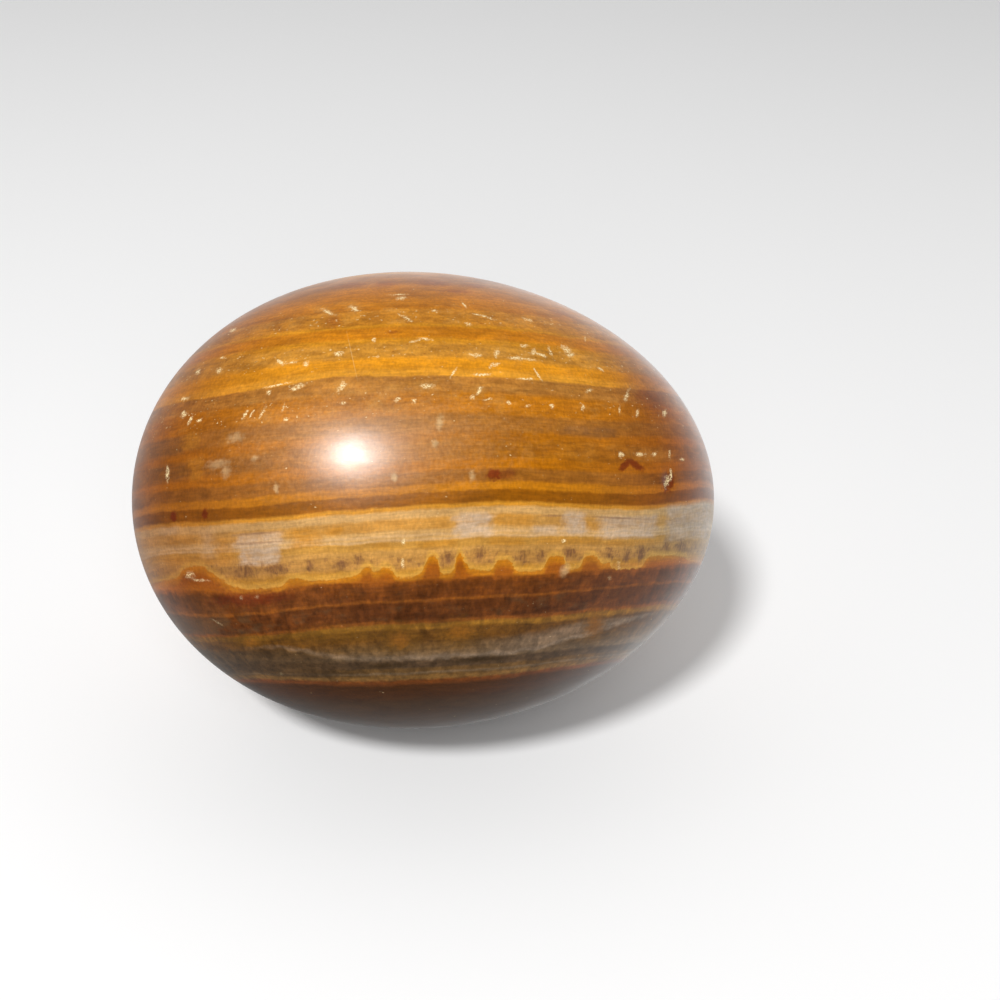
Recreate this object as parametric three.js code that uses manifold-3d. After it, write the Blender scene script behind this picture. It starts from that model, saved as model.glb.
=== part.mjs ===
// A polished banded stone egg that lies on its side, resting on a small ground flat.
//
// Millimetres, +Z up. The long axis runs along X, with the blunt end at -X and the pointed end at +X.
// The origin is on the resting flat, under the middle of the egg's length.

import * as THREE from "three";
import { mergeVertices } from "three/addons/utils/BufferGeometryUtils.js";
import Module from "manifold-3d";

// Driving dimensions
const EGG_LENGTH = 76;
const EGG_DIAMETER = 59.6; // at the widest ring
const EGG_SKEW = 2.0; // how far the widest ring lies from mid-length, towards the blunt end
const FLAT_DEPTH = 0.6; // stone ground away under the widest ring, which leaves a flat of about 15 x 12 mm

// Fineness of the faceted surface
const RINGS = 48; // from one end to the other
const SEGMENTS = 72; // around the long axis

const halfLength = EGG_LENGTH / 2;
const halfDiameter = EGG_DIAMETER / 2;
const axisHeight = halfDiameter - FLAT_DEPTH; // of the long axis above the flat

const wasm = await Module();
wasm.setup();

// Radius of the egg where its long axis is x from mid-length. It is an ellipse's radius, made
// larger towards the blunt end and smaller towards the pointed end by the skew.
function eggRadius(x) {
  const ellipse = halfLength ** 2 - x ** 2;
  const skewed = halfLength ** 2 + 2 * EGG_SKEW * x + EGG_SKEW ** 2;
  return halfDiameter * Math.sqrt(Math.max(0, ellipse) / skewed);
}

// Points (radius, distance along the axis) from the blunt end to the pointed end, close together
// where the outline turns quickly. Both ends lie on the axis.
function eggProfile() {
  const points = [];
  for (let ring = 0; ring <= RINGS; ring += 1) {
    const x = -halfLength * Math.cos((Math.PI * ring) / RINGS);
    const onAxis = ring === 0 || ring === RINGS;
    points.push(new THREE.Vector2(onAxis ? 0 : eggRadius(x), x));
  }
  return points;
}

// The whole egg before the flat is ground, lying along X at its height above the flat.
function uncutEgg() {
  const geometry = new THREE.LatheGeometry(eggProfile(), SEGMENTS);
  geometry.rotateZ(-Math.PI / 2);
  geometry.translate(0, 0, axisHeight);
  return geometry;
}

// A block whose top is the plane of the flat, larger than the egg every way.
function grindingBlock() {
  const side = 2 * EGG_LENGTH;
  const geometry = new THREE.BoxGeometry(side, side, side);
  geometry.translate(0, 0, -side / 2);
  return geometry;
}

function solidOf(geometry) {
  const bare = geometry.clone();
  bare.deleteAttribute("normal");
  bare.deleteAttribute("uv");
  const merged = mergeVertices(bare);
  return new wasm.Manifold(
    new wasm.Mesh({
      numProp: 3,
      vertProperties: new Float32Array(merged.attributes.position.array),
      triVerts: new Uint32Array(merged.index.array),
    }),
  );
}

function geometryOf(solid) {
  const mesh = solid.getMesh();
  const geometry = new THREE.BufferGeometry();
  geometry.setAttribute("position", new THREE.BufferAttribute(mesh.vertProperties, 3));
  geometry.setIndex(new THREE.BufferAttribute(mesh.triVerts, 1));
  geometry.computeVertexNormals();
  return geometry;
}

function stoneEgg() {
  const ground = solidOf(uncutEgg()).subtract(solidOf(grindingBlock()));
  const polishedStone = new THREE.MeshStandardMaterial({
    color: new THREE.Color(0.62, 0.36, 0.1),
    roughness: 0.2,
    metalness: 0,
  });
  const mesh = new THREE.Mesh(geometryOf(ground), polishedStone);
  mesh.name = "stone_egg";
  return mesh;
}

const object = new THREE.Group();
object.add(stoneEgg());

export default object;
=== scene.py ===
# A polished banded stone egg, lying on its side on its small ground flat.
#
# The surface is one fine mesh with a real pit. The stone is a solid pattern of wavy parallel layers
# that runs right through the egg, so each side shows the same layers from its own angle.

import math
from collections import namedtuple

import bpy
import numpy as np
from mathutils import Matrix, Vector


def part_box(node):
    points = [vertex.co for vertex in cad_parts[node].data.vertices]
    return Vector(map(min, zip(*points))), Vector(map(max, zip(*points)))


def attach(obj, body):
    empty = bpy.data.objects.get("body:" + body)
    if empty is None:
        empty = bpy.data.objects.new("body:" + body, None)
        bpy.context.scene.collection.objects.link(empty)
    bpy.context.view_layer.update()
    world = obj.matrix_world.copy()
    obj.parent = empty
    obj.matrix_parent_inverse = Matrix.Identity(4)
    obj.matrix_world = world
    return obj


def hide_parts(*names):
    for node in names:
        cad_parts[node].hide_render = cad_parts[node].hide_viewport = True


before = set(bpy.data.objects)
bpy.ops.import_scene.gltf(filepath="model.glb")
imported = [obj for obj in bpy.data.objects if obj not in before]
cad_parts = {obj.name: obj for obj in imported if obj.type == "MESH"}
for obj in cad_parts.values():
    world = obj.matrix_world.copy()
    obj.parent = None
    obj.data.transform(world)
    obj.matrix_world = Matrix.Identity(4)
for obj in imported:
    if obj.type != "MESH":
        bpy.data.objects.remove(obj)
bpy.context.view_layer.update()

MM = 0.001

# Lengths are in millimetres, and are multiplied by MM where Blender wants metres.

# Shape of the egg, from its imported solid
low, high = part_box("stone_egg")
HALF_LENGTH = (high.x - low.x) / 2 / MM
HALF_WIDTH = (high.y - low.y) / 2 / MM
AXIS_HEIGHT = high.z / MM - HALF_WIDTH  # of the long axis above the flat
SKEW = 2.0  # how far the widest ring lies from mid-length, towards the blunt end
CENTRE = Vector((0, 0, AXIS_HEIGHT))

# The photograph's view
VIEW_ELEVATION = math.radians(35)
VIEW_DISTANCE = 180.0  # from the egg's centre
FOCAL_PIXELS = 1360.0  # of a frame 1000 pixels wide
FRAME_PIXELS = 1000.0
EGG_CENTRE_PIXELS = 423.4  # from the frame's left edge
RIGHT = Vector((1, 0, 0))
TOWARDS_VIEWER = Vector((0, -math.cos(VIEW_ELEVATION), math.sin(VIEW_ELEVATION)))
UP_IN_VIEW = Vector((0, math.sin(VIEW_ELEVATION), math.cos(VIEW_ELEVATION)))

# How the stone's layers lie in the egg. A place in the stone is given by how far it is along the
# egg, towards the face of the layers that is best seen, and across the layers.
LAYER_LEAN = VIEW_ELEVATION + math.radians(4.1)  # of their normal, back from upright
LAYER_ROLL = math.radians(2.6)  # they rise towards the pointed end
ACROSS = Vector(
    (
        -math.sin(LAYER_ROLL),
        math.cos(LAYER_ROLL) * math.sin(LAYER_LEAN),
        math.cos(LAYER_ROLL) * math.cos(LAYER_LEAN),
    )
)
OUTWARDS = Vector((0, -math.cos(LAYER_LEAN), math.sin(LAYER_LEAN)))


def egg_radius(x):
    """Radius of the egg where its long axis is x from mid-length."""
    ellipse = HALF_LENGTH**2 - x**2
    skewed = HALF_LENGTH**2 + 2 * SKEW * x + SKEW**2
    return HALF_WIDTH * np.sqrt(np.maximum(0, ellipse) / skewed)


# Mesh

CUTS = 120  # quads along each side of the six square patches that cover the egg
PATCH_MARGIN = 0.01  # kept clear round each patch in the flat layout, as a share of its side

# Pits in the best seen face: place along and across the layers, reach each way, depth
PITS = [
    (29.1, -0.3, 0.75, 1.2, 0.2),
]
PIT_STEEPNESS = 1.5  # how fast a pit fades out away from its middle


def cube_patches(cuts):
    """Corner lattice points, quads and flat patch layout of a cube cut into squares."""
    i, j = np.meshgrid(np.arange(cuts), np.arange(cuts), indexing="ij")
    ring = [(0, 0), (1, 0), (1, 1), (0, 1)]
    corners, layout = [], []
    sides = [(axis, end) for axis in range(3) for end in (0, cuts)]
    for number, (axis, end) in enumerate(sides):
        order = ring if end else ring[::-1]
        first, second = (axis + 1) % 3, (axis + 2) % 3
        quad = np.zeros((cuts * cuts, 4, 3), int)
        flat = np.zeros((cuts * cuts, 4, 2))
        for corner, (a, b) in enumerate(order):
            quad[:, corner, axis] = end
            quad[:, corner, first] = (i + a).ravel()
            quad[:, corner, second] = (j + b).ravel()
            across, along = ((i + a), (j + b)) if axis == 1 else ((j + b), (i + a))
            flat[:, corner, 0] = across.ravel() / cuts
            flat[:, corner, 1] = along.ravel() / cuts
        flat = flat * (1 - 2 * PATCH_MARGIN) + PATCH_MARGIN
        flat[..., 0] = (flat[..., 0] + number % 3) / 3
        flat[..., 1] = (flat[..., 1] + number // 3) / 2
        corners.append(quad)
        layout.append(flat)
    corners = np.concatenate(corners).reshape(-1, 3)
    points, index = np.unique(corners, axis=0, return_inverse=True)
    return points, index.reshape(-1, 4), np.concatenate(layout).reshape(-1, 2)


def egg_points(lattice, cuts):
    """The lattice of a cube's surface, moved out to the egg's surface."""
    angle = (2 * lattice / cuts - 1) * math.pi / 4
    ball = np.tan(angle)
    ball /= np.linalg.norm(ball, axis=1, keepdims=True)
    turn = VIEW_ELEVATION  # so that one patch faces the viewer
    y = ball[:, 1] * math.cos(turn) + ball[:, 2] * math.sin(turn)
    z = ball[:, 2] * math.cos(turn) - ball[:, 1] * math.sin(turn)
    x = HALF_LENGTH * ball[:, 0]
    round_part = np.hypot(y, z)
    radius = egg_radius(x) / np.maximum(round_part, 1e-9)
    return np.stack([x, y * radius, z * radius], axis=1)


def pitted(points):
    """The points with those in pits moved towards the egg's centre."""
    beside = points @ np.array(RIGHT)
    above = points @ np.array(ACROSS)
    seen = points @ np.array(OUTWARDS) > 0
    depth = np.zeros(len(points))
    for along, across, wide, tall, deep in PITS:
        away = ((beside - along) / wide) ** 2 + ((above - across) / tall) ** 2
        depth += deep * np.exp(-PIT_STEEPNESS * away) * seen
    distance = np.linalg.norm(points, axis=1)
    return points * (1 - depth / distance)[:, None]


def egg_mesh():
    """The egg's surface, cut off level where it rests."""
    lattice, quads, layout = cube_patches(CUTS)
    points = pitted(egg_points(lattice, CUTS)) + np.array(CENTRE)
    points[:, 2] = np.maximum(points[:, 2], 0)
    mesh = bpy.data.meshes.new("banded_egg")
    mesh.from_pydata((points * MM).tolist(), [], quads.tolist())
    mesh.uv_layers.new(name="OFBake").data.foreach_set("uv", layout.ravel())
    mesh.shade_smooth()
    egg = bpy.data.objects.new("banded_egg", mesh)
    bpy.context.scene.collection.objects.link(egg)
    return egg


# Colours of the stone, in display values from 0 to 255, as they look in the studio's light

LIGHT_GAIN = 1.25  # how much brighter than its own colour the studio's light makes a surface


def shown(red, green, blue):
    """The shader's own colour for a surface that should look like this display colour."""
    linear = [((c / 255 + 0.055) / 1.055) ** 2.4 for c in (red, green, blue)]
    return tuple(c / LIGHT_GAIN for c in linear)


PLUM = shown(184, 112, 30)
OCHRE = shown(199, 120, 2)
MARIGOLD = shown(213, 130, 2)
FLAX = shown(226, 149, 22)
GOLD = shown(236, 153, 12)
PALE_GOLD = shown(243, 164, 38)
HONEY = shown(217, 147, 42)
OLIVE = shown(208, 134, 30)
FAWN = shown(194, 127, 44)
HAZEL = shown(179, 112, 32)
AMBER = shown(194, 115, 3)
TAWNY = shown(180, 109, 15)
DUN = shown(168, 103, 27)
SAFFRON = shown(202, 125, 14)
CHESTNUT = shown(156, 91, 4)
CREAM = shown(218, 168, 98)
WHEAT = shown(211, 154, 74)
MILK = shown(225, 178, 116)
CORN = shown(208, 150, 62)
SAND = shown(199, 142, 66)
MUSTARD = shown(198, 136, 38)
CARAMEL = shown(182, 104, 0)
MAHOGANY = shown(142, 74, 2)
UMBER = shown(114, 58, 6)
COFFEE = shown(103, 52, 6)
RUST = shown(138, 74, 4)
STRAW = shown(150, 100, 16)
BARK = shown(107, 66, 8)
TAUPE = shown(109, 77, 36)
ASH = shown(121, 94, 62)
SLATE = shown(92, 68, 42)
KHAKI = shown(127, 89, 38)
BRICK = shown(120, 62, 8)
EARTH = shown(80, 43, 8)
LOAM = shown(76, 48, 20)

# Colours of its marks
WHITE_STONE = shown(214, 186, 158)
CLOUDY_WHITE = shown(218, 178, 124)
OCHRE_STONE = shown(208, 138, 38)
DULL_STONE = shown(144, 96, 50)
# painted glow of the lamp round its highlight, paler than the layers there
PAINTED_HIGHLIGHT_GLOW = shown(198, 146, 92)
VIOLET_GREY = shown(140, 94, 54)
GREY_LINE = shown(150, 112, 82)
RIM_YELLOW = shown(228, 168, 66)
HUMP_ORANGE = shown(204, 126, 6)
HUMP_FOOT = shown(172, 92, 0)
OXBLOOD = shown(134, 50, 8)
ROSE_BROWN = shown(116, 34, 2)
PLUM_PATCH = shown(158, 78, 14)
STAIN = shown(146, 88, 2)
STAIN_HAZE = shown(128, 84, 6)
PALE_LINE = shown(144, 120, 96)
DARK_OLIVE = shown(80, 57, 32)
DARK_LENS = shown(64, 44, 16)
OLIVE_BLOOM = shown(100, 72, 42)
# A pale haze in the stone, and also the colour of the painted soft glows round glints
HAZE_AND_GLINT_HALO = shown(222, 160, 74)
FRECKLE = shown(158, 84, 6)
PAINTED_GLINT_COLOUR = (1.0, 0.8, 0.43)  # painted glint colour: throws back more light than any shown colour can

# Tints, which a colour is multiplied by
DARKER_CLOUD = (0.8, 0.77, 0.85)
PALER_CLOUD = (1.14, 1.17, 1.35)
BLUNT_END = (0.62, 0.53, 0.5)
POINTED_END = (0.77, 0.63, 0.62)
POINTED_END_HIGH_UP = (0.5, 0.34, 0.5)
POINTED_END_OF_CREAM = (0.76, 0.88, 1.1)

# The layers in order from the bottom of the egg: the height of each one's lower edge above the
# egg's centre, its colour, how mottled it is, how full of painted glints, and how wide its lower edge
# is.
Bed = namedtuple("Bed", "bottom colour mottle glints edge")
BEDS = [
    Bed(-30.0, LOAM, 0.3, 0.0, 0.2),
    Bed(-24.8, EARTH, 0.3, 0.0, 1.0),
    Bed(-22.85, BRICK, 0.7, 0.0, 0.4),
    Bed(-22.3, KHAKI, 0.3, 0.0, 0.3),
    Bed(-21.75, TAUPE, 0.2, 0.0, 0.2),
    Bed(-21.6, ASH, 0.2, 0.0, 0.12),
    Bed(-21.35, TAUPE, 0.2, 0.0, 0.15),
    Bed(-20.85, SLATE, 0.5, 0.0, 0.2),
    Bed(-19.9, ASH, 0.3, 0.0, 0.3),
    Bed(-19.1, TAUPE, 0.4, 0.0, 0.8),
    Bed(-18.0, BARK, 0.5, 0.0, 1.0),
    Bed(-16.35, STRAW, 0.4, 0.0, 0.3),
    Bed(-15.75, RUST, 0.3, 0.0, 0.25),
    Bed(-15.4, COFFEE, 0.7, 0.0, 0.3),
    Bed(-13.3, RUST, 0.5, 0.0, 0.2),
    Bed(-13.0, UMBER, 0.7, 0.0, 0.25),
    Bed(-11.3, MAHOGANY, 0.5, 0.0, 0.5),
    Bed(-10.75, CARAMEL, 0.3, 0.0, 0.4),
    Bed(-10.35, MUSTARD, 0.2, 0.0, 0.3),
    Bed(-9.6, SAND, 0.4, 0.0, 0.6),
    Bed(-8.2, WHEAT, 0.4, 0.0, 0.6),
    Bed(-7.4, CORN, 0.3, 0.0, 0.4),
    Bed(-6.5, MILK, 0.3, 0.0, 0.25),
    Bed(-6.25, CREAM, 0.3, 0.0, 0.2),
    Bed(-6.0, MILK, 0.3, 0.0, 0.2),
    Bed(-5.75, CREAM, 0.3, 0.0, 0.25),
    Bed(-5.3, WHEAT, 0.4, 0.0, 0.3),
    Bed(-4.0, CREAM, 0.4, 0.0, 0.3),
    Bed(-3.1, HONEY, 0.2, 0.0, 0.3),
    Bed(-2.6, CHESTNUT, 0.4, 0.0, 0.3),
    Bed(-1.25, SAFFRON, 0.3, 0.1, 0.3),
    Bed(-0.35, DUN, 0.8, 0.1, 0.3),
    Bed(1.05, AMBER, 0.3, 0.1, 0.3),
    Bed(2.25, TAWNY, 0.8, 0.4, 0.4),
    Bed(4.35, AMBER, 0.5, 0.3, 0.5),
    Bed(5.5, HAZEL, 0.7, 0.4, 0.5),
    Bed(7.5, OCHRE, 0.5, 0.8, 0.5),
    Bed(10.3, FAWN, 0.8, 0.8, 0.6),
    Bed(12.3, PALE_GOLD, 0.4, 0.3, 0.25),
    Bed(13.2, GOLD, 0.4, 0.4, 0.6),
    Bed(14.7, HONEY, 0.9, 1.0, 0.6),
    Bed(16.55, FLAX, 0.5, 0.5, 0.5),
    Bed(17.2, MARIGOLD, 0.5, 0.3, 0.4),
    Bed(18.7, FLAX, 0.4, 0.3, 0.3),
    Bed(19.1, OLIVE, 0.9, 1.0, 0.4),
    Bed(21.2, OCHRE, 0.7, 0.7, 0.5),
    Bed(21.9, MARIGOLD, 0.5, 0.4, 0.4),
    Bed(22.9, OCHRE, 0.4, 0.2, 0.4),
    Bed(25.1, PLUM, 0.6, 0.2, 0.4),
    Bed(27.3, OCHRE, 0.6, 0.6, 0.3),
    Bed(28.1, FLAX, 0.6, 0.6, 0.25),
    Bed(28.6, AMBER, 0.6, 0.5, 0.25),
    Bed(29.2, HONEY, 0.8, 0.8, 0.2),
]
BEDS_PER_RAMP = 15  # a colour ramp holds 32 stops, and each bed takes two
LAST_BED_HEIGHT = 5  # how far up a ramp goes on above the lower edge of its last bed

# Heights of the lower and upper edge of some groups of layers
GREY_AND_DARK_LAYERS = (-22.6, -11.0)
DARK_LAYERS = (-15.4, -11.3)
CREAM_LAYER = (-10.3, -3.2)
BLOTCHED_LAYER = (-9.6, -7.9)

# Where the layers are bent: place along and across, how far the bend reaches each way, how far it
# moves the layers.
BENDS = [
    (24, 15, 18, 11, -1.6),
    (24, -3, 9, 6, -0.75),
    (36, -3, 5, 8, 0.5),
    (-18, -3, 10, 4, -0.55),
    (-18.5, -11.3, 4.5, 1.5, -0.45),
    (-22, -15.5, 12, 4, -0.8),
    (-30, -9.5, 5, 4, 0.5),
    (30, -13, 12, 5, 0.7),
    (22, -24, 9, 4, 0.9),
    (-20, -24, 8, 4, 0.5),
    (-22, 25, 8, 3, -1.2),
    (-10, 12.5, 4, 2, 0.3),
    (-23, 12.2, 9.5, 2.5, -0.55),
]

# Marks in the best seen face. A block is its left and right ends along the egg, its bottom and top
# across the layers, and how plain it is.
Block = namedtuple("Block", "left right bottom top strength")
BLOCK_SOFT_ENDS = 0.7  # how far the left and right ends fade
BLOCK_SOFT_SIDES = 0.35  # how far the bottom and top fade
WHITE_BLOCKS = [
    Block(-21.4, -16.1, -6.2, -4.4, 0.7),
    Block(-21.0, -16.3, -8.3, -6.0, 0.85),
    Block(3.6, 7.6, -6.4, -3.8, 0.8),
    Block(12.4, 15.2, -6.3, -5.3, 0.6),
    Block(15.9, 18.2, -6.2, -3.6, 0.85),
    Block(20.2, 27.4, -6.7, -3.9, 0.7),
    Block(29.0, 36.0, -7.5, -2.9, 0.6),
    Block(-31.8, -28.8, -3.9, -3.0, 0.3),
    Block(-25.6, -24.2, -7.2, -3.4, 0.25),
]
OCHRE_BLOCKS = [
    Block(-15.0, -11.5, -6.6, -4.2, 0.8),
    Block(-11.3, -8.8, -5.4, -4.3, 0.9),
    Block(-8.6, 2.9, -5.2, -4.0, 0.5),
    Block(8.0, 12.2, -5.4, -4.0, 0.6),
    Block(18.4, 20.0, -5.8, -4.6, 0.6),
    Block(-30.2, -26.6, -5.4, -4.4, 0.5),
    Block(-24.2, -21.9, -8.2, -4.6, 0.6),
    Block(-31.0, -22.4, -8.0, -7.0, 0.6),
    Block(-5.5, -3.5, -7.3, -6.5, 0.5),
    Block(-0.5, 3.6, -7.3, -6.6, 0.7),
    Block(7.4, 11.5, -7.4, -6.6, 0.7),
    Block(12.9, 20.5, -7.4, -6.8, 0.6),
    Block(21.0, 28.5, -7.8, -7.0, 0.6),
    Block(-28.4, -26.2, 5.6, 7.7, 0.8),
    Block(-27.5, -25.6, 1.9, 4.5, 0.7),
    Block(-23.3, -22.2, 5.6, 7.2, 0.4),
]
DULL_BLOCKS = [
    Block(-33.5, -28.6, 5.2, 7.5, 0.7),
    Block(-33.0, -27.7, 2.0, 4.2, 0.6),
    Block(-25.4, -17.0, 2.2, 4.0, 0.4),
    Block(15.8, 22.5, 5.2, 6.6, 0.75),
]

# The cream layer's lower edge in the best seen face, where humps of orange rise into it: place
# along the egg and height across the layers.
CREAM_EDGE = [
    (-34.0, -9.6),
    (-29.6, -9.2),
    (-28.3, -8.2),
    (-26.6, -8.0),
    (-25.0, -8.7),
    (-23.1, -9.9),
    (-21.4, -10.75),
    (-18.5, -11.05),
    (-16.5, -11.0),
    (-15.4, -10.3),
    (-14.3, -10.1),
    (-12.2, -10.5),
    (-8.6, -10.3),
    (-7.0, -9.8),
    (-6.1, -9.2),
    (-5.3, -9.8),
    (-4.3, -9.3),
    (-3.2, -10.2),
    (-2.0, -10.6),
    (-0.4, -10.2),
    (0.3, -9.0),
    (1.1, -8.3),
    (1.7, -9.1),
    (2.1, -10.4),
    (3.1, -10.2),
    (3.65, -9.0),
    (4.0, -8.1),
    (4.5, -9.0),
    (6.2, -10.1),
    (7.3, -10.2),
    (8.2, -9.2),
    (9.3, -9.05),
    (10.3, -10.2),
    (11.4, -10.55),
    (13.2, -10.4),
    (14.0, -9.3),
    (15.0, -8.85),
    (16.0, -9.3),
    (16.6, -10.5),
    (17.8, -10.3),
    (18.4, -9.2),
    (19.2, -8.95),
    (20.4, -9.8),
    (21.4, -9.9),
    (22.4, -10.6),
    (24.8, -10.65),
    (26.2, -9.75),
    (27.4, -9.2),
    (29.4, -9.2),
    (33.0, -10.0),
]

# Spots in the best seen face: place along and across, reach each way, lean in degrees
# A painted glow round the lamp's highlight, where the layers are drawn paler
HIGHLIGHT_GLOW_REGION = [(-6.0, 5.0, 12.0, 4.5, 0)]
VIOLET_SPOTS = [
    (-20.3, -9.0, 1.3, 0.6, 0),
    (-16.6, -8.9, 1.4, 0.6, 0),
    (-12.7, -8.7, 0.35, 0.7, 0),
    (-9.2, -8.8, 0.9, 0.5, 0),
    (-7.2, -8.3, 0.5, 0.5, 0),
    (2.7, -8.5, 0.6, 0.7, 0),
    (6.2, -8.3, 0.5, 0.8, 0),
    (11.2, -8.9, 0.35, 0.7, 0),
    (13.2, -8.8, 0.5, 0.6, 0),
    (16.6, -8.5, 0.8, 0.6, 0),
    (21.4, -9.0, 0.5, 0.8, 0),
    (23.7, -9.1, 0.5, 0.9, 0),
    (25.5, -8.9, 0.5, 0.8, 0),
    (29.0, -8.3, 0.5, 0.9, 0),
    (31.2, -8.3, 0.8, 0.8, 20),
]
OXBLOOD_SPOTS = [
    (23.3, 1.3, 1.0, 0.35, 40),
    (24.6, 1.5, 1.2, 0.4, -30),
    # The spot on the pit is dark red stone with the pit's shade painted into it
    (29.1, -0.5, 0.75, 1.1, -15),
    (7.8, 0.4, 0.75, 0.6, 0),
    (-29.5, -2.0, 0.45, 0.6, 0),
    (-25.2, -2.1, 0.35, 0.6, 0),
]
ROSE_BROWN_SPOTS = [
    (-20.0, -12.0, 4.0, 0.8, 0),
    (9.0, 0.4, 1.4, 0.5, 0),
]
PLUM_SPOTS = [
    (-9.0, 25.9, 1.9, 0.5, 0),
    (-4.6, 25.6, 1.2, 0.5, 0),
    (1.2, 25.6, 2.0, 0.6, -4),
    (6.5, 25.2, 1.2, 0.4, 0),
    (4.0, 24.0, 1.5, 0.3, -4),
    (17.0, 21.4, 1.6, 0.5, -8),
    (-10.5, 20.0, 0.8, 0.9, 0),
    (-3.6, 17.9, 0.6, 0.2, 0),
    (27.4, 9.8, 2.6, 1.4, -20),
]
STAIN_SPOTS = [
    (-2.7, -17.5, 0.95, 0.75, 0),
    (4.1, -16.9, 1.2, 0.75, 0),
    (20.2, -17.0, 0.9, 1.0, 0),
    (-20.3, -17.2, 0.8, 0.4, 0),
]
STAIN_HAZE_SPOTS = [
    (-9.5, -16.6, 4.5, 0.8, 0),
    (-2.8, -17.2, 1.9, 1.3, 0),
    (4.0, -17.1, 1.8, 1.4, 0),
    (20.2, -17.3, 1.2, 1.6, 0),
    (-20.6, -17.0, 1.8, 0.6, 0),
]
LENS_SPOTS = [
    (-4.8, -20.5, 2.0, 0.3, 0),
    (6.5, -20.3, 3.6, 0.3, 1),
]
GREY_LINES = [
    (-18.6, -4.8, 2.3, 0.13, 0),
    (-18.7, -5.85, 2.6, 0.13, 0),
    (22.5, -4.75, 2.7, 0.1, -3),
    (14.7, -4.35, 1.1, 0.13, 0),
]
WHITE_SPOTS = [
    (5.4, 0.3, 0.32, 0.5, 0),
    (-23.6, 3.5, 1.2, 0.45, 0),
    (-22.6, 2.6, 0.5, 0.7, 0),
    (-21.5, 6.4, 0.8, 0.5, 0),
    (-19.1, 3.7, 0.4, 0.25, 0),
    (16.1, -10.5, 0.4, 0.6, -30),
    (-16.5, 0.1, 0.25, 0.5, 0),
    (1.8, 6.6, 0.4, 0.7, 0),
    (1.3, 4.1, 0.35, 0.4, 0),
    (-3.2, 0.6, 0.3, 0.5, 0),
]
# Painted soft glows round glints
GLINT_HALO_SPOTS = [
    (-9.2, 11.3, 0.9, 0.7, 0),
    (6.2, 10.1, 0.7, 0.7, 20),
    (24.9, 11.0, 0.9, 0.6, 10),
    (17.2, 15.3, 0.9, 1.0, 0),
    (-8.3, 21.7, 0.9, 0.7, -40),
    (8.8, 14.7, 0.9, 0.6, 0),
    (6.4, 14.8, 1.2, 0.5, 0),
    (27.0, 2.7, 2.6, 0.6, 0),
    (-5.5, 8.9, 0.8, 0.5, 0),
    (-24.2, 15.2, 0.8, 0.4, 0),
    (19.5, 14.7, 0.7, 0.4, 0),
    (-11.6, 21.6, 1.2, 0.5, -30),
    (0.3, 10.9, 1.0, 0.5, 0),
]
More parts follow.
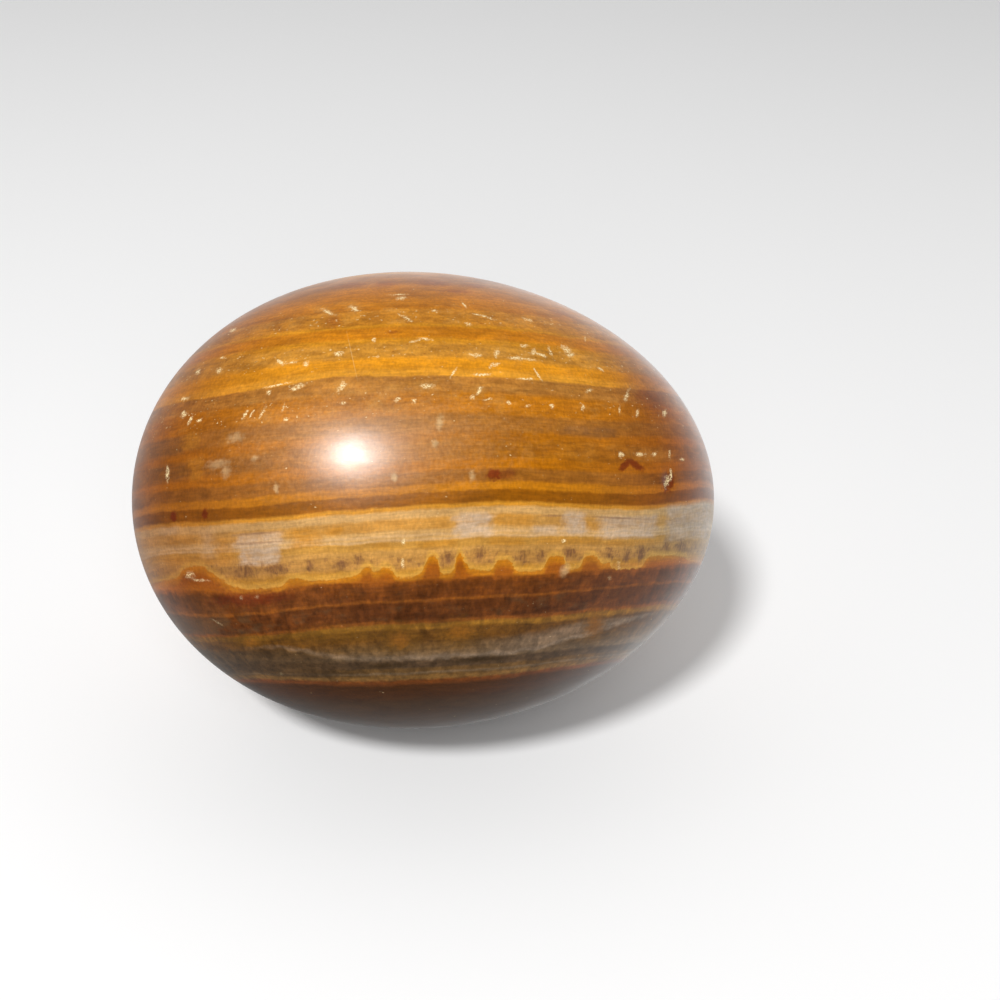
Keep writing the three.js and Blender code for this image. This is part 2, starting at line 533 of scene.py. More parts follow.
# Painted glints: bright flecks where small cracks and pits in the stone mirror the lamp
PAINTED_GLINTS = [
    (-2.7, 22.9, 0.4, 0.25, 0),
    (-2.9, 23.5, 0.7, 0.13, 0),
    (-11.3, 21.5, 0.8, 0.17, -35),
    (-8.2, 21.7, 0.5, 0.22, -40),
    (-2.1, 19.9, 0.7, 0.15, -35),
    (4.9, 21.6, 0.5, 0.12, -60),
    (6.8, 20.1, 0.8, 0.1, -15),
    (7.9, 19.7, 0.5, 0.13, -20),
    (1.3, 20.8, 0.3, 0.12, 0),
    (5.3, 18.8, 0.28, 0.2, 0),
    (12.5, 19.7, 0.5, 0.15, -20),
    (19.6, 17.5, 0.35, 0.1, 80),
    (-23.6, 21.2, 0.35, 0.25, 0),
    (-24.2, 17.0, 0.25, 0.15, 0),
    (-5.7, 17.0, 0.2, 0.2, 0),
    (-0.9, 16.6, 0.6, 0.11, 10),
    (0.3, 16.8, 0.6, 0.13, -10),
    (-9.8, 15.5, 0.45, 0.25, 0),
    (-27.4, 15.7, 0.3, 0.3, 0),
    (-24.4, 15.2, 0.3, 0.25, 0),
    (-16.6, 15.1, 0.5, 0.15, -40),
    (-15.1, 14.9, 0.4, 0.13, 0),
    (-13.5, 14.5, 0.3, 0.25, 0),
    (6.0, 14.6, 0.5, 0.17, -5),
    (8.4, 14.8, 0.2, 0.4, -20),
    (11.8, 15.9, 0.4, 0.15, 0),
    (12.8, 15.1, 0.4, 0.2, 60),
    (13.8, 14.7, 0.5, 0.17, -20),
    (14.9, 15.2, 0.55, 0.14, -75),
    (17.0, 15.5, 0.65, 0.3, -50),
    (17.4, 14.9, 0.4, 0.25, 0),
    (10.6, 14.2, 0.6, 0.2, 0),
    (12.2, 14.1, 1.0, 0.1, -6),
    (8.1, 13.3, 0.55, 0.2, 20),
    (21.0, 13.2, 0.35, 0.12, -30),
    (6.7, 12.1, 0.75, 0.15, 0),
    (3.4, 12.4, 0.75, 0.09, 58),
    (13.2, 12.1, 0.7, 0.1, -60),
    (11.9, 11.6, 0.8, 0.1, 0),
    (-28.8, 12.3, 0.45, 0.2, 0),
    (-17.0, 12.15, 1.2, 0.11, 6),
    (-14.2, 11.8, 0.6, 0.22, 15),
    (-14.8, 11.5, 0.3, 0.2, 0),
    (-17.7, 11.4, 0.25, 0.2, 0),
    (0.5, 10.8, 0.6, 0.25, 0),
    (-9.2, 11.3, 0.55, 0.25, 60),
    (6.3, 10.1, 0.55, 0.17, 65),
    (5.5, 9.4, 0.2, 0.2, 0),
    (7.3, 9.1, 0.35, 0.13, 20),
    (19.3, 10.3, 0.35, 0.18, 20),
    (24.2, 10.0, 0.65, 0.2, 65),
    (-28.6, 10.2, 0.35, 0.3, 0),
    (-27.6, 9.3, 0.5, 0.17, 65),
    (-26.3, 9.1, 0.3, 0.15, 30),
    (-20.5, 9.0, 0.5, 0.15, 55),
    (-19.7, 9.0, 0.4, 0.12, 60),
    (-18.3, 9.1, 0.55, 0.15, 60),
    (-15.9, 9.4, 0.4, 0.1, 72),
    (-15.5, 7.9, 0.25, 0.15, 0),
    (-9.0, 9.4, 0.22, 0.15, 0),
    (-2.9, 9.4, 0.3, 0.2, 0),
    (-1.0, 9.1, 0.2, 0.2, 0),
    (9.7, 8.7, 0.2, 0.2, 0),
    (11.9, 8.3, 0.3, 0.13, 20),
    (14.6, 8.3, 0.22, 0.16, 0),
    (18.4, 8.1, 0.3, 0.15, 80),
    (23.0, 8.0, 0.4, 0.1, 85),
    (25.4, 7.8, 0.45, 0.16, 60),
    (29.3, 8.1, 0.4, 0.25, 60),
    (22.9, 2.6, 0.25, 0.25, 0),
    (25.4, 2.7, 0.6, 0.17, 0),
    (27.3, 2.8, 0.35, 0.17, 30),
    (29.5, 3.0, 0.4, 0.12, 85),
    (31.3, 2.4, 0.25, 0.15, 0),
    (-30.4, 3.25, 0.2, 0.7, 0),
    (29.0, -0.4, 0.3, 0.55, -20),
    (29.5, 0.5, 0.14, 0.5, 0),
    (-27.6, -9.0, 0.5, 0.35, 0),
    (-26.2, -9.65, 0.8, 0.12, -6),
    (-24.6, -14.6, 0.6, 0.1, -30),
    (-21.0, -11.9, 0.2, 0.17, 0),
    (-19.1, -11.9, 0.2, 0.17, 0),
    (21.6, -11.6, 0.2, 0.2, 0),
    (-17.0, -21.1, 0.25, 0.12, -20),
    (-2.2, -6.6, 0.18, 0.22, 0),
    (-2.3, -8.9, 0.12, 0.4, 0),
    (22.7, -10.2, 0.2, 0.4, 0),
    (15.9, -7.2, 0.18, 0.15, 0),
]
# A hairline scratch, painted as a faint glint along it
SCRATCHES = [
    (-8.2, 15.2, 0.04, 2.8, 13),
]


class Nodes:
    """Adds nodes to a shader tree. Each method returns the socket that holds its result."""

    def __init__(self, tree):
        self.nodes = tree.nodes
        self.links = tree.links

    def feed(self, socket, value):
        """Link the socket to another socket, or set it to a plain value."""
        if isinstance(value, bpy.types.NodeSocket):
            self.links.new(value, socket)
        elif socket.type == "RGBA":
            socket.default_value = (*value, 1)
        else:
            socket.default_value = value

    def maths(self, operation, *values):
        node = self.nodes.new("ShaderNodeMath")
        node.operation = operation
        for socket, value in zip(node.inputs, values):
            self.feed(socket, value)
        return node.outputs[0]

    def vector(self, operation, *values):
        node = self.nodes.new("ShaderNodeVectorMath")
        node.operation = operation
        for socket, value in zip(node.inputs, values):
            self.feed(socket, value)
        return node.outputs["Value" if operation in ("DOT_PRODUCT", "LENGTH") else "Vector"]

    def joined(self, x, y, z):
        node = self.nodes.new("ShaderNodeCombineXYZ")
        for socket, value in zip(node.inputs, (x, y, z)):
            self.feed(socket, value)
        return node.outputs[0]

    def apart(self, vector):
        """The three numbers of a vector."""
        node = self.nodes.new("ShaderNodeSeparateXYZ")
        self.feed(node.inputs[0], vector)
        return node.outputs[:3]

    def parted(self, colour):
        """The red, green and blue of a colour."""
        node = self.nodes.new("ShaderNodeSeparateColor")
        self.feed(node.inputs[0], colour)
        return node.outputs[:3]

    def folded(self, operation, values):
        result = values[0]
        for value in values[1:]:
            result = self.maths(operation, result, value)
        return result

    def total(self, *values):
        return self.folded("ADD", values)

    def product(self, *values):
        return self.folded("MULTIPLY", values)

    def greatest(self, *values):
        return self.folded("MAXIMUM", values)

    def rest_of(self, value):
        """One less the value."""
        return self.maths("SUBTRACT", 1.0, value)

    def mapped(self, value, start, end, low, high, kind):
        node = self.nodes.new("ShaderNodeMapRange")
        node.interpolation_type = kind
        for socket, setting in zip(node.inputs, (value, start, end, low, high)):
            self.feed(socket, setting)
        return node.outputs[0]

    def rise(self, value, start, end, low=0.0, high=1.0):
        """Goes smoothly from low at start to high at end, and stays there."""
        return self.mapped(value, start, end, low, high, "SMOOTHSTEP")

    def between(self, value, start, end, soft):
        """One from start to end, with soft edges, and none elsewhere."""
        up = self.rise(value, start - soft, start + soft)
        down = self.rise(value, end - soft, end + soft, 1.0, 0.0)
        return self.product(up, down)

    def ramp(self, value, stops):
        """Colour at a value, from stops of (value, colour) in rising order."""
        start, end = stops[0][0], stops[-1][0]
        node = self.nodes.new("ShaderNodeValToRGB")
        elements = node.color_ramp.elements
        while len(elements) < len(stops):
            elements.new(1.0)
        for element, (position, colour) in zip(elements, stops):
            element.position = (position - start) / (end - start)
            element.color = (*colour, 1)
        self.feed(node.inputs[0], self.mapped(value, start, end, 0.0, 1.0, "LINEAR"))
        return node.outputs[0]

    def curve(self, value, points):
        """Height at a value, on a smooth curve through points of (value, height) in rising order."""
        start, end = points[0][0], points[-1][0]
        lowest = min(height for _, height in points)
        highest = max(height for _, height in points)
        node = self.nodes.new("ShaderNodeFloatCurve")
        line = node.mapping.curves[0].points
        while len(line) < len(points):
            line.new(0.5, 0.5)
        for place, (position, height) in zip(line, points):
            place.location = ((position - start) / (end - start), (height - lowest) / (highest - lowest))
            place.handle_type = "AUTO_CLAMPED"
        node.mapping.update()
        self.feed(node.inputs["Value"], self.mapped(value, start, end, 0.0, 1.0, "LINEAR"))
        return self.mapped(node.outputs[0], 0.0, 1.0, lowest, highest, "LINEAR")

    def mix(self, factor, first, second, blend="MIX"):
        node = self.nodes.new("ShaderNodeMix")
        node.data_type = "RGBA"
        node.blend_type = blend
        colours = [socket for socket in node.inputs if socket.type == "RGBA"]
        for socket, value in zip((node.inputs[0], *colours), (factor, first, second)):
            self.feed(socket, value)
        return next(socket for socket in node.outputs if socket.type == "RGBA")

    def tinted(self, amount, colour, tint):
        """The colour multiplied by the tint, as far as the amount says."""
        return self.mix(amount, colour, tint, "MULTIPLY")

    def times(self, colour, amount):
        """The colour made darker or brighter."""
        return self.tinted(1.0, colour, self.joined(amount, amount, amount))


class Stone(Nodes):
    """The solid pattern of the stone, in millimetres from the egg's centre."""

    def __init__(self, tree):
        super().__init__(tree)
        metres = self.nodes.new("ShaderNodeTexCoord").outputs["Object"]
        place = self.vector("SUBTRACT", self.vector("DIVIDE", metres, (MM, MM, MM)), tuple(CENTRE))
        self.along = self.vector("DOT_PRODUCT", place, tuple(RIGHT))
        self.outwards = self.vector("DOT_PRODUCT", place, tuple(OUTWARDS))
        self.across = self.vector("DOT_PRODUCT", place, tuple(ACROSS))
        self.place = self.joined(self.along, self.outwards, self.across)
        self.in_face = self.rise(self.outwards, 2.0, 8.0)  # one where the marks are seen
        self.unseen = self.rise(self.outwards, 3.0, -9.0)  # one on the side away from them
        self.height = self.bent_height()
        self.bedded = self.joined(self.along, self.outwards, self.height)  # for noise in layers
        self.rag = self.wave((0.5, 0.5, 0.4), 20.0, 1.0)  # frays the edges of marks
        self.wavering = self.total(self.along, self.wave((1.2, 1.2, 0.8), 21.0, 1.0))
        self.combs = self.noise((0.3, 0.3, 2.0), 23.0, detail=2.0)  # fine upright lines
        self.along_thrice = self.joined(self.along, self.along, self.along)
        self.across_thrice = self.joined(self.across, self.across, self.across)

    def slanted(self, beside, above, offset):
        """along * beside + across * above + offset, for three sets of these numbers at once."""
        result = tuple(offset)
        if any(above):
            result = self.vector("MULTIPLY_ADD", self.across_thrice, tuple(above), result)
        if any(beside):
            result = self.vector("MULTIPLY_ADD", self.along_thrice, tuple(beside), result)
        return result

    def noise(self, size, seed, detail=2.0, rough=0.5, place=None):
        """Smooth noise from 0 to 1, another one for each seed. size is its scale along, outwards
        and across, in millimetres."""
        scale = [1 / length for length in size]
        elsewhere = (17.3 * seed, 5.9 * seed, 11.7 * seed)
        scaled = self.vector("MULTIPLY_ADD", place or self.place, scale, elsewhere)
        node = self.nodes.new("ShaderNodeTexNoise")
        self.feed(node.inputs["Vector"], scaled)
        for name, value in {"Scale": 1.0, "Detail": detail, "Roughness": rough}.items():
            self.feed(node.inputs[name], value)
        return node.outputs[0]

    def wave(self, size, seed, reach, **settings):
        """Noise from about -reach to reach."""
        centred = self.maths("SUBTRACT", self.noise(size, seed, **settings), 0.5)
        return self.maths("MULTIPLY", centred, 2 * reach)

    def bent_height(self):
        """Height across the layers, bent so that their edges wave and fray as the stone's do."""
        bent = self.total(
            self.across,
            self.wave((16, 16, 30), 1.0, 0.3, detail=1.0),
            self.wave((3.2, 3.2, 2.4), 2.0, 0.22, detail=2.0),
            self.wave((0.8, 0.8, 0.5), 3.0, 0.14, detail=3.0, rough=0.65),
            self.product(self.wave((9, 9, 12), 8.0, 2.2, detail=1.0), self.unseen),
        )
        for along, across, reach_along, reach_across, shift in BENDS:
            scale = (1 / reach_along, 0, 1 / reach_across)
            offset = (-along / reach_along, 0, -across / reach_across)
            distance = self.vector("LENGTH", self.vector("MULTIPLY_ADD", self.place, scale, offset))
            bent = self.total(bent, self.rise(distance, 1.6, 0.0, 0.0, -shift))
        return bent


FAR_AWAY = 100.0  # square of a distance from a spot's middle, which is one at the spot's edge


def in_threes(entries):
    """The entries in groups of three, with the last one repeated until its group is full."""
    filled = entries + entries[-1:] * (-len(entries) % 3)
    return [filled[start : start + 3] for start in range(0, len(filled), 3)]


def spotted(stone, spots, soft, ragged):
    """One inside any of the spots and none outside, with a soft and ragged edge."""
    nearest = (FAR_AWAY, FAR_AWAY, FAR_AWAY)
    # Spots without a lean go together, because three of them take fewer nodes.
    for three in in_threes(sorted(spots, key=lambda spot: spot[-1])):
        along, across, wide, tall, lean = np.array(three).T
        turn = np.radians(lean)
        cos, sin = np.cos(turn), np.sin(turn)
        beside = stone.slanted(cos / wide, sin / wide, -(along * cos + across * sin) / wide)
        above = stone.slanted(-sin / tall, cos / tall, (along * sin - across * cos) / tall)
        square = stone.vector("MULTIPLY_ADD", beside, beside, stone.vector("MULTIPLY", above, above))
        nearest = stone.vector("MINIMUM", nearest, square)
    nearest = stone.maths("SQRT", stone.folded("MINIMUM", stone.apart(nearest)))
    nearest = stone.maths("MULTIPLY_ADD", stone.rag, ragged, nearest)
    return stone.product(stone.rise(nearest, 1 + soft, 1 - soft), stone.in_face)


def blocky(stone, blocks):
    """How plain the block is at each place in it, and none outside."""
    plain = 0.0
    for block in blocks:
        beside = stone.between(stone.wavering, block.left, block.right, BLOCK_SOFT_ENDS)
        inside = stone.between(stone.height, block.bottom, block.top, BLOCK_SOFT_SIDES)
        plain = stone.greatest(plain, stone.product(beside, inside, block.strength))
    streaks = stone.noise((2.5, 2.5, 0.3), 28.0, detail=3.0, place=stone.bedded)
    patchy = stone.noise((0.9, 0.9, 0.8), 30.0, detail=2.0)
    uneven = stone.product(
        stone.rise(streaks, 0.34, 0.6, 0.7, 1.0), stone.rise(patchy, 0.3, 0.6, 0.7, 1.0)
    )
    return stone.product(plain, uneven, stone.in_face)


def bed_stops(beds, property_of):
    """Ramp stops for a run of layers, each with a soft lower edge."""
    stops = [(beds[0].bottom, property_of(beds[0]))]
    for under, bed in zip(beds, beds[1:]):
        stops.append((bed.bottom - bed.edge / 2, property_of(under)))
        stops.append((bed.bottom + bed.edge / 2, property_of(bed)))
    stops.append((beds[-1].bottom + LAST_BED_HEIGHT, property_of(beds[-1])))
    return stops


def layered(stone, property_of):
    """The colour, or other property, of the layer at each place."""
    result = None
    for start in range(0, len(BEDS), BEDS_PER_RAMP):
        run = BEDS[start : start + BEDS_PER_RAMP]
        here = stone.ramp(stone.height, bed_stops(run, property_of))
        if result is None:
            result = here
            continue
        half = run[0].edge / 2
        above = stone.rise(stone.height, run[0].bottom - half, run[0].bottom + half)
        result = stone.mix(above, result, here)
    return result


def mottled(stone, colour, strength, richness):
    """Clouds of darker and of paler stone, a pale haze, and a few reddish freckles."""
    clouds = stone.noise((2.0, 2.0, 0.9), 4.0, detail=3.0, rough=0.6, place=stone.bedded)
    darker = stone.tinted(1.0, colour, DARKER_CLOUD)
    paler = stone.tinted(1.0, colour, PALER_CLOUD)
    clouded = stone.mix(stone.rise(clouds, 0.34, 0.66), darker, paler)
    colour = stone.mix(strength, colour, clouded)
    mist = stone.noise((2.6, 2.6, 1.2), 14.0, detail=3.0, rough=0.6, place=stone.bedded)
    hazy = stone.product(stone.rise(mist, 0.5, 0.72), richness, 0.4)
    colour = stone.mix(hazy, colour, HAZE_AND_GLINT_HALO)
    dark_spots = stone.noise((0.6, 0.6, 0.35), 15.0, detail=1.0)
    freckled = stone.product(stone.rise(dark_spots, 0.66, 0.8), richness, 0.6)
    return stone.mix(freckled, colour, FRECKLE)


def fine_grain(stone, colour):
    """Thin lines along the layers, finer fibres across them, and slow changes of tone."""
    lines = stone.noise((2.6, 2.6, 0.28), 5.0, detail=3.0, rough=0.6, place=stone.bedded)
    fibres = stone.noise((0.3, 0.3, 0.55), 6.0, detail=2.0)
    tone = stone.noise((8, 8, 1.8), 7.0, detail=2.0, place=stone.bedded)
    shade = stone.product(
        stone.rise(lines, 0.3, 0.7, 0.88, 1.12),
        stone.rise(fibres, 0.3, 0.7, 0.9, 1.1),
        stone.rise(tone, 0.3, 0.7, 0.9, 1.1),
    )
    return stone.times(colour, shade)


def curtains(stone, colour):
    """Upright folds of lighter and darker brown in the dark layers and the grey ones."""
    folds = stone.noise((0.7, 0.7, 2.6), 31.0, detail=3.0, rough=0.6)
    columns = stone.noise((1.7, 1.7, 3.5), 33.0, detail=1.0)
    inside = stone.between(stone.height, *GREY_AND_DARK_LAYERS, 0.3)
    shade = stone.product(
        stone.rise(folds, 0.32, 0.7, 0.8, 1.25), stone.rise(columns, 0.4, 0.6, 0.86, 1.12)
    )
    colour = stone.mix(inside, colour, stone.times(colour, shade))
    patches = stone.noise((2.2, 2.2, 1.2), 32.0, detail=3.0)
    leftwards = stone.rise(stone.along, -16.0, -29.0, 0.0, 0.4)
    lower = stone.rise(stone.height, -13.0, -13.8, 0.35, 1.0)
    bloom = stone.product(
        stone.rise(stone.total(patches, leftwards), 0.52, 0.78),
        stone.between(stone.height, *DARK_LAYERS, 0.3),
        lower,
        0.6,
    )
    return stone.mix(bloom, colour, OLIVE_BLOOM)


def cream_layer(stone, colour):
    """White and ochre patches, violet-grey blotches and fine upright lines in the cream layer."""
    inside = stone.between(stone.height, *CREAM_LAYER, 0.3)
    elsewhere = stone.rest_of(stone.in_face)
    patches = stone.noise((5, 5, 2.5), 22.0, detail=1.0, place=stone.bedded)
    white = stone.product(stone.rise(patches, 0.56, 0.6), elsewhere, inside, 0.8)
    ochre = stone.product(stone.rise(patches, 0.46, 0.42), elsewhere, inside, 0.6)
    colour = stone.mix(ochre, colour, OCHRE_STONE)
    colour = stone.mix(white, colour, WHITE_STONE)
    combed = stone.product(stone.combs, inside)
    colour = stone.times(colour, stone.rise(combed, 0.35, 0.7, 1.01, 0.97))
    blotches = stone.noise((0.5, 0.5, 1.0), 24.0, detail=3.0)
    faint = stone.product(
        stone.rise(blotches, 0.5, 0.68),
        stone.between(stone.height, *BLOTCHED_LAYER, 0.4),
        stone.rise(stone.in_face, 0.0, 1.0, 0.8, 0.55),
    )
    seen = spotted(stone, VIOLET_SPOTS, 0.6, 0.9)
    streaked = stone.product(seen, stone.rise(stone.combs, 0.3, 0.62, 0.4, 1.0))
    return stone.mix(stone.greatest(faint, streaked), colour, VIOLET_GREY)


def humps(stone, colour):
    """Orange humps with a yellow rim where the dark layers meet the cream one."""
    rough_along = stone.maths("MULTIPLY_ADD", stone.rag, 0.25, stone.along)
    seen = stone.maths("SUBTRACT", stone.across, stone.curve(rough_along, CREAM_EDGE))
    away = stone.noise((1.6, 1.6, 6), 26.0, detail=1.0)
    unseen = stone.maths("SUBTRACT", stone.height, stone.rise(away, 0.46, 0.68, -10.6, -9.0))
    above = stone.total(
        stone.product(seen, stone.in_face),
        stone.product(unseen, stone.rest_of(stone.in_face)),
        stone.product(stone.rag, 0.3),
    )
    glow = stone.product(stone.rise(above, 1.0, 0.1), stone.rise(above, -0.1, 0.1), 0.75)
    orange = stone.product(stone.rise(above, 0.16, -0.14), stone.rise(stone.height, -11.1, -10.6))
    fill = stone.mix(stone.rise(above, -0.1, -1.2), HUMP_ORANGE, HUMP_FOOT)
    colour = stone.mix(glow, colour, RIM_YELLOW)
    return stone.mix(orange, colour, fill)


def grey_layer(stone, colour):
    """A pale wavy line in the grey layers, with darker stone under it."""
    waving = stone.total(stone.height, stone.wave((1.5, 1.5, 1.0), 27.0, 0.4))
    left = stone.rise(stone.along, -6.0, -19.0, 0.0, 2.4)
    right = stone.rise(stone.along, 8.0, 32.0, 0.0, 3.4)
    above = stone.maths("SUBTRACT", waving, stone.total(left, right))
    brighter = stone.rise(stone.along, -12.0, 16.0, 0.35, 0.9)
    fading = stone.rise(stone.along, -24.0, -16.0)
    line = stone.product(stone.between(above, -19.9, -19.45, 0.25), brighter, fading)
    glow = stone.product(
        stone.between(above, -19.6, -18.0, 0.6), stone.rise(stone.along, 2.0, 15.0), 0.6
    )
    under = stone.product(
        stone.between(above, -24.0, -20.0, 0.4),
        stone.rise(stone.height, -22.1, -21.7),
        stone.rise(stone.along, -6.0, -14.0, 0.0, 0.8),
    )
    inside = stone.product(stone.in_face, stone.rise(stone.height, -16.4, -17.0))
    top_line = stone.between(stone.height, -16.45, -15.65, 0.2)
    dimmed = stone.product(top_line, stone.rise(stone.along, -8.0, -17.0), 0.65)
    colour = stone.mix(dimmed, colour, BARK)
    colour = stone.mix(stone.product(glow, inside), colour, PALE_LINE)
    colour = stone.mix(stone.product(under, inside), colour, DARK_OLIVE)
    return stone.mix(stone.product(line, inside), colour, PALE_LINE)


def painted_sparkle(stone, richness):
    """Painted glints: small bright flecks in loose clusters, where the stone is rich in them."""
    flecks = stone.noise((0.45, 0.45, 0.26), 11.0, detail=1.0)
    clusters = stone.wave((2.0, 2.0, 1.0), 12.0, 0.2, detail=2.0)
    crowded = stone.total(flecks, clusters, stone.product(richness, 0.1))
    return stone.rise(crowded, 0.78, 0.94)


def duller_ends(stone, colour):
    """The stone is redder and duller towards both ends, above the dark layers."""
    upper = stone.rise(stone.height, -11.4, -9.6)
    blunt = stone.product(stone.rise(stone.along, -11.0, -31.0), upper)
    pointed = stone.product(stone.rise(stone.along, 17.0, 33.0), upper)
    cream = stone.between(stone.height, -10.0, -3.0, 0.5)
    high = stone.rise(stone.height, 10.0, 14.0)
    duller = stone.mix(high, POINTED_END, POINTED_END_HIGH_UP)
    duller = stone.mix(cream, duller, POINTED_END_OF_CREAM)
    colour = stone.tinted(blunt, colour, BLUNT_END)
    return stone.tinted(pointed, colour, duller)


def stone_colour(stone):
    """The layers with everything that is in and on them, and the painted glints and glows, from the
    broadest to the finest.
    """
    colour = layered(stone, lambda bed: bed.colour)
    character = layered(stone, lambda bed: (bed.mottle, bed.glints, 0))
    mottle, richness, _ = stone.parted(character)
    gold_side = stone.product(stone.unseen, stone.rise(stone.height, -3.0, 0.0), 0.6)
    richness = stone.greatest(richness, gold_side)
    colour = mottled(stone, colour, mottle, richness)
    colour = stone.mix(blocky(stone, OCHRE_BLOCKS), colour, OCHRE_STONE)
    colour = stone.mix(blocky(stone, WHITE_BLOCKS), colour, WHITE_STONE)
    colour = stone.mix(blocky(stone, DULL_BLOCKS), colour, DULL_STONE)
    colour = humps(stone, cream_layer(stone, colour))
    colour = curtains(stone, grey_layer(stone, colour))
    # Spots, how soft their edge is, how strong they are, and their colour
    marks = [
        # The highlight's glow and the glints' halos among these spots are painted light
        (HIGHLIGHT_GLOW_REGION, 0.9, 0.5, PAINTED_HIGHLIGHT_GLOW),
        (ROSE_BROWN_SPOTS, 0.7, 0.55, ROSE_BROWN),
        (LENS_SPOTS, 0.8, 0.7, DARK_LENS),
        (GREY_LINES, 0.9, 0.6, GREY_LINE),
        (STAIN_HAZE_SPOTS, 0.9, 0.6, STAIN_HAZE),
        (STAIN_SPOTS, 0.9, 0.85, STAIN),
        (PLUM_SPOTS, 0.7, 0.55, PLUM_PATCH),
        (OXBLOOD_SPOTS, 0.4, 0.85, OXBLOOD),
        (GLINT_HALO_SPOTS, 0.9, 0.35, HAZE_AND_GLINT_HALO),
        (WHITE_SPOTS, 0.8, 0.7, CLOUDY_WHITE),
    ]
    for spots, soft, strength, paint in marks:
        inside = stone.product(spotted(stone, spots, soft, 0.8), strength)
        colour = stone.mix(inside, colour, paint)
    colour = duller_ends(stone, fine_grain(stone, colour))
    # Painted glints: loose flecks, the listed ones, and a faint one along the scratch
    broken = stone.rise(stone.noise((0.19, 0.19, 0.14), 29.0), 0.4, 0.58, 0.12, 1.0)
    fainter_below = stone.rise(stone.height, -11.5, -7.0, 0.25, 0.95)
    bright = stone.greatest(
        stone.product(painted_sparkle(stone, richness), 0.58),
        stone.product(spotted(stone, PAINTED_GLINTS, 0.8, 1.5), broken, fainter_below),
        stone.product(spotted(stone, SCRATCHES, 0.5, 0.5), 0.2),
    )
    return stone.mix(bright, colour, PAINTED_GLINT_COLOUR)


# Finish of the polished face
RELIEF = 0.008  # how far it rises and falls
STONE_IOR = 1.62  # close to calcite's


def polish(stone):
    """Roughness of the polish, which is a little uneven and wears at the softest layers."""
    uneven = stone.noise((4, 4, 1.5), 41.0, detail=3.0, place=stone.bedded)
    soft_layer = stone.between(stone.height, *CREAM_LAYER, 0.3)
    return stone.total(stone.rise(uneven, 0.3, 0.7, 0.29, 0.33), stone.product(soft_layer, 0.01))


def fine_relief(stone):
    """Normal of the polished face, which is very slightly uneven."""
    uneven = stone.noise((1.4, 1.4, 0.9), 42.0, detail=2.0)
    bump = stone.nodes.new("ShaderNodeBump")
    stone.feed(bump.inputs["Height"], uneven)
    stone.feed(bump.inputs["Distance"], RELIEF * MM)
    return bump.outputs[0]


def banded_stone():
    material = bpy.data.materials.new("banded_stone")
    material.use_nodes = True
    shader = material.node_tree.nodes["Principled BSDF"]
    stone = Stone(material.node_tree)
    stone.feed(shader.inputs["Base Color"], stone_colour(stone))
    stone.feed(shader.inputs["Roughness"], polish(stone))
    stone.feed(shader.inputs["Normal"], fine_relief(stone))
    shader.inputs["IOR"].default_value = STONE_IOR
    return material


egg = egg_mesh()
egg.data.materials.append(banded_stone())
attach(egg, "root")
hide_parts("stone_egg")

# Stage

FLOOR_HALF = 750.0  # from its middle to its edges
FLOOR_COLOUR = (0.93, 0.93, 0.93)
FLOOR_ROUGHNESS = 0.8
SENSOR_WIDTH = 36.0  # of the camera
NEAREST_SEEN = 10.0  # from the camera
LIGHT_DISTANCE = 1100.0  # from the egg's centre
SOFT_LIGHT = 0.58  # strength of the light from behind and beside the egg
BACKDROP = 0.92  # how bright the surround looks past the floor's far edge
EXTRA_BEHIND = 0.45  # how much brighter the surround is straight behind the egg's upper edge
LIT_FLOOR = 0.42  # how bright the floor on the egg's right looks in the polish
SHADED_FLOOR = (-0.1, 0.2, -0.97)  # direction of the floor in the egg's own shade


def make_floor():
    mesh = bpy.data.meshes.new("floor")
    sides = [(-1, -1), (1, -1), (1, 1), (-1, 1)]
    corners = [(x * FLOOR_HALF * MM, y * FLOOR_HALF * MM, 0) for x, y in sides]
    mesh.from_pydata(corners, [], [(0, 1, 2, 3)])
    floor = bpy.data.objects.new("floor", mesh)
    bpy.context.scene.collection.objects.link(floor)
    pale = bpy.data.materials.new("pale_floor")
    pale.use_nodes = True
    shader = pale.node_tree.nodes["Principled BSDF"]
    shader.inputs["Base Color"].default_value = (*FLOOR_COLOUR, 1)
    shader.inputs["Roughness"].default_value = FLOOR_ROUGHNESS
    mesh.materials.append(pale)
    floor.visible_glossy = False  # the polish mirrors the world's surround instead


def make_camera():
    camera = bpy.data.objects.new("camera", bpy.data.cameras.new("camera"))
    bpy.context.scene.collection.objects.link(camera)
    camera.data.sensor_width = SENSOR_WIDTH
    camera.data.lens = SENSOR_WIDTH * FOCAL_PIXELS / FRAME_PIXELS
    camera.data.clip_start = NEAREST_SEEN * MM
    camera.data.shift_x = (FRAME_PIXELS / 2 - EGG_CENTRE_PIXELS) / FRAME_PIXELS
    camera.location = (CENTRE + TOWARDS_VIEWER * VIEW_DISTANCE) * MM
    camera.rotation_mode = "QUATERNION"
    camera.rotation_quaternion = (-TOWARDS_VIEWER).to_track_quat("-Z", "Y")
    bpy.context.scene.camera = camera


def make_softbox(name, aside, above, size, watts):
    """A round light seen from the egg's centre aside and above the camera, in degrees."""
    turn, lift = math.radians(aside), math.radians(above)
    level = TOWARDS_VIEWER * math.cos(turn) + RIGHT * math.sin(turn)
    towards = level * math.cos(lift) + UP_IN_VIEW * math.sin(lift)
    lamp = bpy.data.lights.new(name, "AREA")
    lamp.shape = "DISK"
    lamp.size = size * MM
    lamp.energy = watts
    light = bpy.data.objects.new(name, lamp)
    bpy.context.scene.collection.objects.link(light)
    light.location = (CENTRE + towards * LIGHT_DISTANCE) * MM
    light.rotation_mode = "QUATERNION"
    light.rotation_quaternion = (-towards).to_track_quat("-Z", "Y")
    return light


def make_fill():
    """A wide soft light behind the camera, which the polish doesn't mirror."""
    fill = make_softbox("fill", aside=0, above=0, size=900, watts=4.85)
    fill.visible_glossy = False
    fill.data.cycles.use_multiple_importance_sampling = False


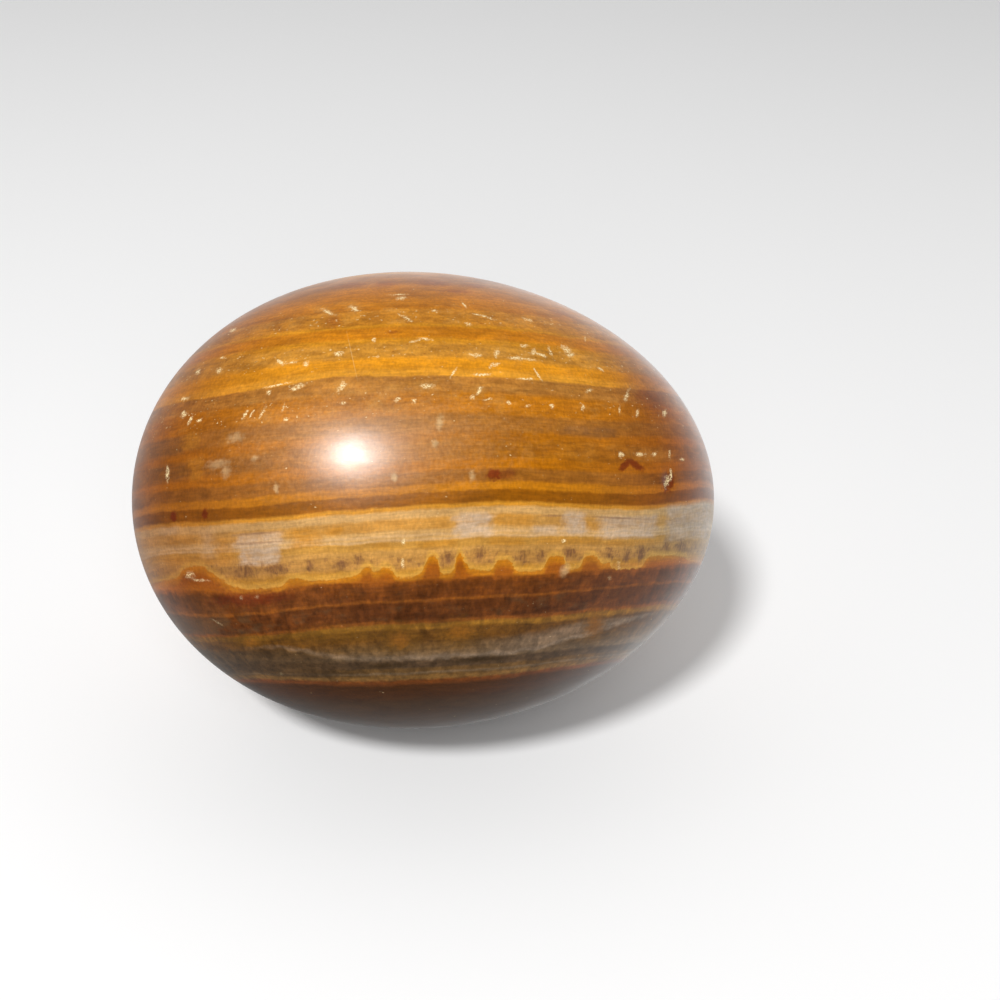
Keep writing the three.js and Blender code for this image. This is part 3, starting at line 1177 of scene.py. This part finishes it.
def make_world():
    """Soft light from behind and beside the egg, and a plain surround for the polish to mirror:
    dark on the camera's side, pale behind the egg, paler still straight behind its upper edge,
    pale where the floor is lit on its right, and darker where the egg shades the floor."""
    world = bpy.data.worlds.new("studio")
    world.use_nodes = True
    studio = Nodes(world.node_tree)
    sky = studio.nodes["Background"]
    direction = studio.nodes.new("ShaderNodeTexCoord").outputs["Generated"]
    facing = studio.vector("DOT_PRODUCT", direction, tuple(TOWARDS_VIEWER))
    aside = studio.vector("DOT_PRODUCT", direction, tuple(RIGHT))
    above = studio.vector("DOT_PRODUCT", direction, tuple(UP_IN_VIEW))
    upwards = studio.vector("DOT_PRODUCT", direction, (0, 0, 1))
    shaded = studio.vector("DOT_PRODUCT", direction, SHADED_FLOOR)
    brightest = studio.product(studio.rise(facing, -0.65, -0.95), studio.rise(above, -0.05, 0.15))
    behind = studio.product(
        studio.rise(facing, -0.15, -0.9),
        studio.rise(aside, -0.5, 0.3, 0.5, 1.0),
        studio.rise(shaded, 0.8, 0.96, 1.0, 0.4),
        studio.total(1.0, studio.product(brightest, EXTRA_BEHIND)),
    )
    lit_floor = studio.product(
        studio.rise(aside, 0.2, 0.9),
        studio.rise(upwards, 0.1, -0.25),
        studio.rise(facing, 0.5, 0.0),
        LIT_FLOOR,
    )
    soft = studio.rise(facing, 0.6, 0.4, 0.0, SOFT_LIGHT)
    rays = studio.nodes.new("ShaderNodeLightPath").outputs
    in_polish, looked_at = rays["Is Glossy Ray"], rays["Is Camera Ray"]
    strength = studio.total(
        studio.product(soft, studio.rest_of(in_polish)),
        studio.product(studio.total(behind, lit_floor), in_polish),
    )
    strength = studio.greatest(strength, studio.product(looked_at, BACKDROP))
    studio.feed(sky.inputs["Strength"], strength)
    sky.inputs["Color"].default_value = (1.0, 1.0, 1.0, 1)
    world.cycles.sampling_method = "NONE"  # or the polish would also mirror the soft light
    bpy.context.scene.world = world
    bpy.context.scene.view_settings.view_transform = "Standard"


make_floor()
make_camera()
make_softbox("key", aside=-18.3, above=20.7, size=180, watts=8.8)
make_fill()
make_world()
